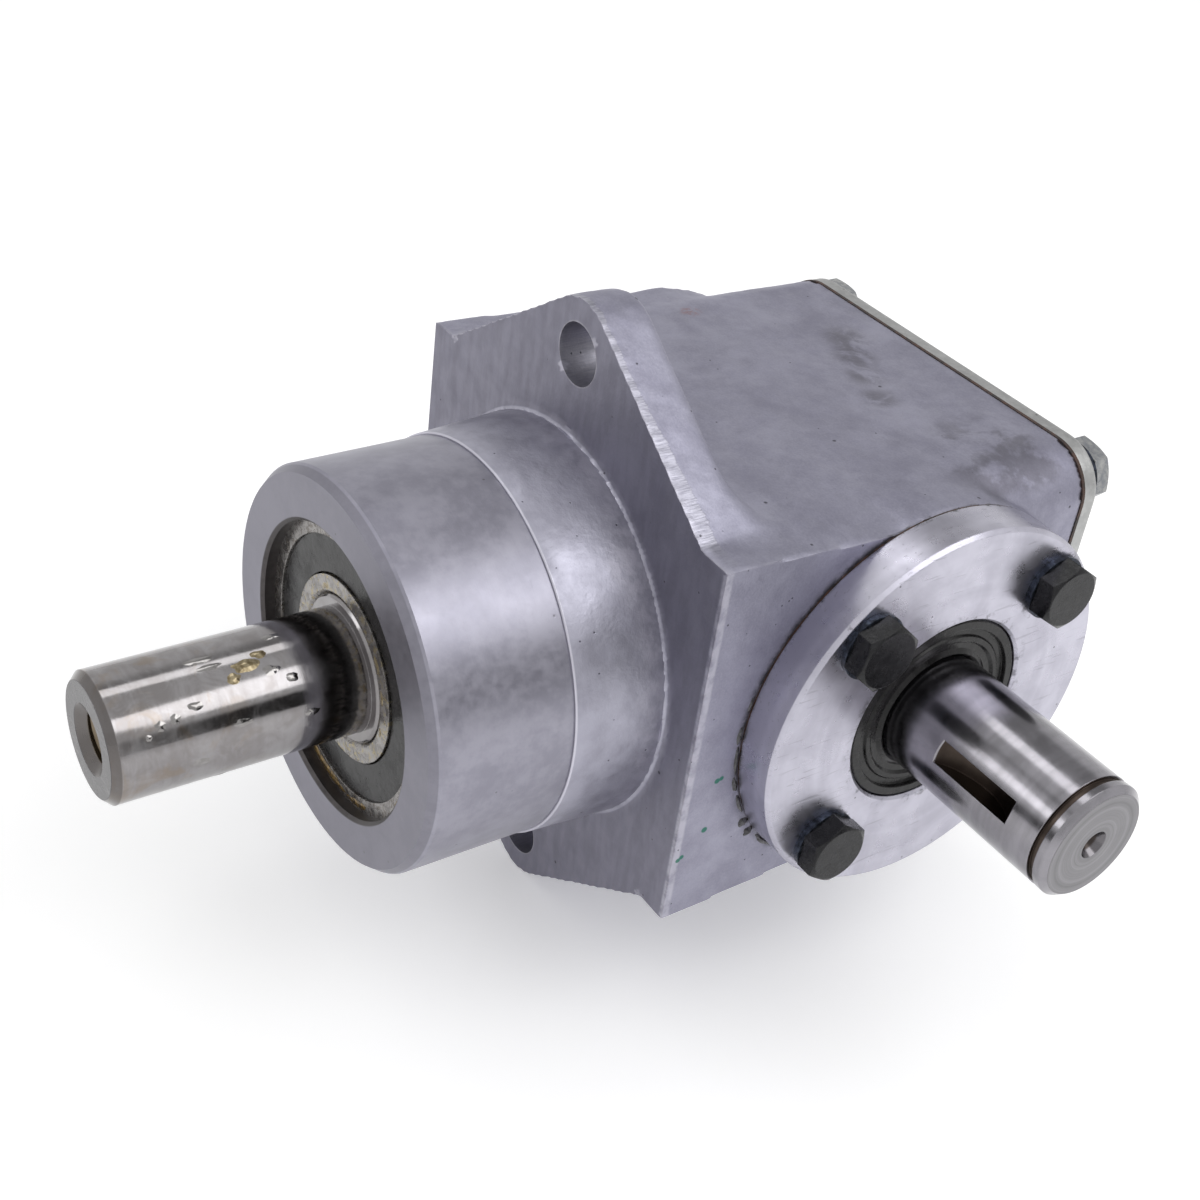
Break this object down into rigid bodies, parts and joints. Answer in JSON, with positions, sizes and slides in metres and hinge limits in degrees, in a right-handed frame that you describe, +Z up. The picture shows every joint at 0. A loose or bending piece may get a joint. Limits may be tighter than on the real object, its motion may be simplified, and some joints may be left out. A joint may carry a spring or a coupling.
{
  "type": "right angle gearbox",
  "caption": "Small right angle mitre gearbox: cast aluminium case with bolting flange, plain input shaft in a round boss, keyed output shaft through a side cover.",
  "frame": {"origin": "on the front shaft's axis, at the front face of the bolting flange", "axes": "-Y along the front shaft, towards its free end; +X along the keyed side shaft, towards its free end; +Z up, along the line through the two lug holes"},
  "size_m": [0.1568, 0.2039, 0.1414],
  "materials": {
    "cast_aluminium": "sand cast, unpainted, slightly stained",
    "machined_aluminium": "turned bright",
    "cover_aluminium": "flat plate, dull",
    "gasket_paper": "oiled gasket paper",
    "zinc_bolts": "zinc plated",
    "dark_washers": "blackened",
    "black_bolts": "black oxide",
    "seal_rubber": "oily black nitrile rubber",
    "seal_steel": "pressed sheet",
    "bearing_steel": "ground",
    "cage_brass": "turned",
    "sleeve_steel": "turned",
    "circlip_steel": "blackened spring steel",
    "shaft_steel": "ground and oiled",
    "gear_steel": "cut and hardened"
  },
  "bodies": {
    "gearcase": {"housing": "cast_aluminium", "back_cover": "cover_aluminium", "back_cover_gasket": "gasket_paper", "back_cover_bolts": "zinc_bolts", "back_cover_washers": "dark_washers", "side_cover": "machined_aluminium", "side_cover_gasket": "gasket_paper", "side_cover_bolts": "black_bolts", "side_cover_washers": "dark_washers", "side_seal_case": "seal_steel", "side_seal_lip": "seal_rubber", "side_seal_spring": "seal_steel", "front_bearing_outer_ring": "bearing_steel", "rear_bearing_outer_ring": "bearing_steel", "near_bearing_outer_ring": "bearing_steel", "far_bearing_outer_ring": "bearing_steel", "front_bearing_front_seal": "seal_rubber", "front_bearing_rear_seal": "seal_rubber", "housing_circlip": "circlip_steel", "bearing_sleeve": "sleeve_steel", "far_bearing_shim": "seal_steel"},
    "front_shaft_set": {"front_shaft": "shaft_steel", "pinion": "gear_steel", "pinion_key": "gear_steel", "pinion_circlip": "circlip_steel", "front_bearing_inner_ring": "bearing_steel", "rear_bearing_inner_ring": "bearing_steel"},
    "side_shaft_set": {"side_shaft": "shaft_steel", "side_gear": "gear_steel", "side_gear_key": "gear_steel", "side_shaft_circlips": "circlip_steel", "near_bearing_inner_ring": "bearing_steel", "far_bearing_inner_ring": "bearing_steel"},
    "front_cage_set": {"front_bearing_cage": "cage_brass", "front_bearing_balls": "bearing_steel"},
    "rear_cage_set": {"rear_bearing_cage": "cage_brass", "rear_bearing_balls": "bearing_steel"},
    "near_cage_set": {"near_bearing_cage": "cage_brass", "near_bearing_balls": "bearing_steel"},
    "far_cage_set": {"far_bearing_cage": "cage_brass", "far_bearing_balls": "bearing_steel"}
  },
  "joints": [
    {"name": "front_shaft_spin", "type": "hinge", "parent": "gearcase", "child": "front_shaft_set", "pos_m": [0, 0, 0], "axis": [0, -1, 0], "continuous": true},
    {"name": "side_shaft_spin", "type": "hinge", "parent": "gearcase", "child": "side_shaft_set", "pos_m": [0, 0.054, 0], "axis": [1, 0, 0], "continuous": true},
    {"name": "front_cage_spin", "type": "hinge", "parent": "gearcase", "child": "front_cage_set", "pos_m": [0, -0.0387, 0], "axis": [0, -1, 0], "continuous": true},
    {"name": "rear_cage_spin", "type": "hinge", "parent": "gearcase", "child": "rear_cage_set", "pos_m": [0, 0.01, 0], "axis": [0, -1, 0], "continuous": true},
    {"name": "near_cage_spin", "type": "hinge", "parent": "gearcase", "child": "near_cage_set", "pos_m": [0.0415, 0.054, 0], "axis": [1, 0, 0], "continuous": true},
    {"name": "far_cage_spin", "type": "hinge", "parent": "gearcase", "child": "far_cage_set", "pos_m": [-0.0415, 0.054, 0], "axis": [1, 0, 0], "continuous": true}
  ],
  "couplings": [
    {"joint": "side_shaft_spin", "follows": "front_shaft_spin", "ratio": -1},
    {"joint": "front_cage_spin", "follows": "front_shaft_spin", "ratio": 0.3965},
    {"joint": "rear_cage_spin", "follows": "front_shaft_spin", "ratio": 0.3965},
    {"joint": "near_cage_spin", "follows": "front_shaft_spin", "ratio": -0.3974},
    {"joint": "far_cage_spin", "follows": "front_shaft_spin", "ratio": -0.3974}
  ]
}
